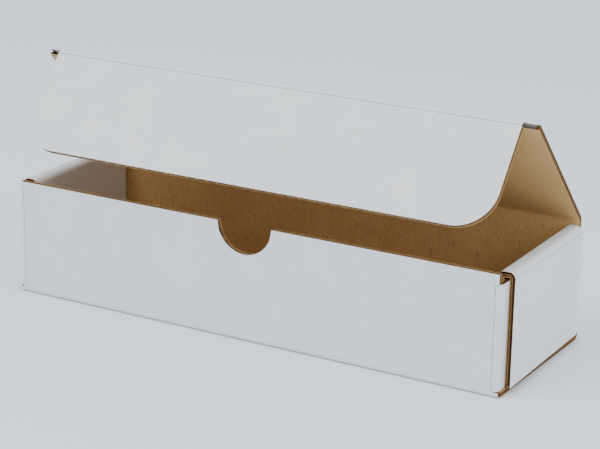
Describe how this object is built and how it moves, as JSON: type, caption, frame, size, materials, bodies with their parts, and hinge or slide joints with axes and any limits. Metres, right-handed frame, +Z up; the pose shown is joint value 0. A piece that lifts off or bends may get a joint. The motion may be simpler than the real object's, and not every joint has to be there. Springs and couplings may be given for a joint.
{
  "type": "corrugated mailer box",
  "caption": "Long low corrugated mailer box, white outside and kraft inside, lid half open with its tuck flap hanging.",
  "frame": {"origin": "centre of the underside of the bottom panel", "axes": "+Z up, +X along the box to the right, the front wall with the thumb notch faces -Y"},
  "size_m": [0.305, 0.107, 0.1353],
  "materials": {
    "white_board": "matte",
    "kraft_board": "matte"
  },
  "bodies": {
    "tray_body": {"tray": "white_board"},
    "lid_body": {"lid": "white_board"},
    "tuck_body": {"tuck_flap": "white_board"}
  },
  "joints": [
    {"name": "lid_crease", "type": "hinge", "parent": "tray_body", "child": "lid_body", "pos_m": [0, 0.049, 0.0685], "axis": [-1, 0, 0], "range_deg": [-45.5, 64]},
    {"name": "tuck_crease", "type": "hinge", "parent": "lid_body", "child": "tuck_body", "pos_m": [0, -0.01669, 0.13321], "axis": [1, 0, 0], "range_deg": [-90, 64]}
  ],
  "couplings": [
    {"joint": "tuck_crease", "follows": "lid_crease", "ratio": -1.4}
  ]
}
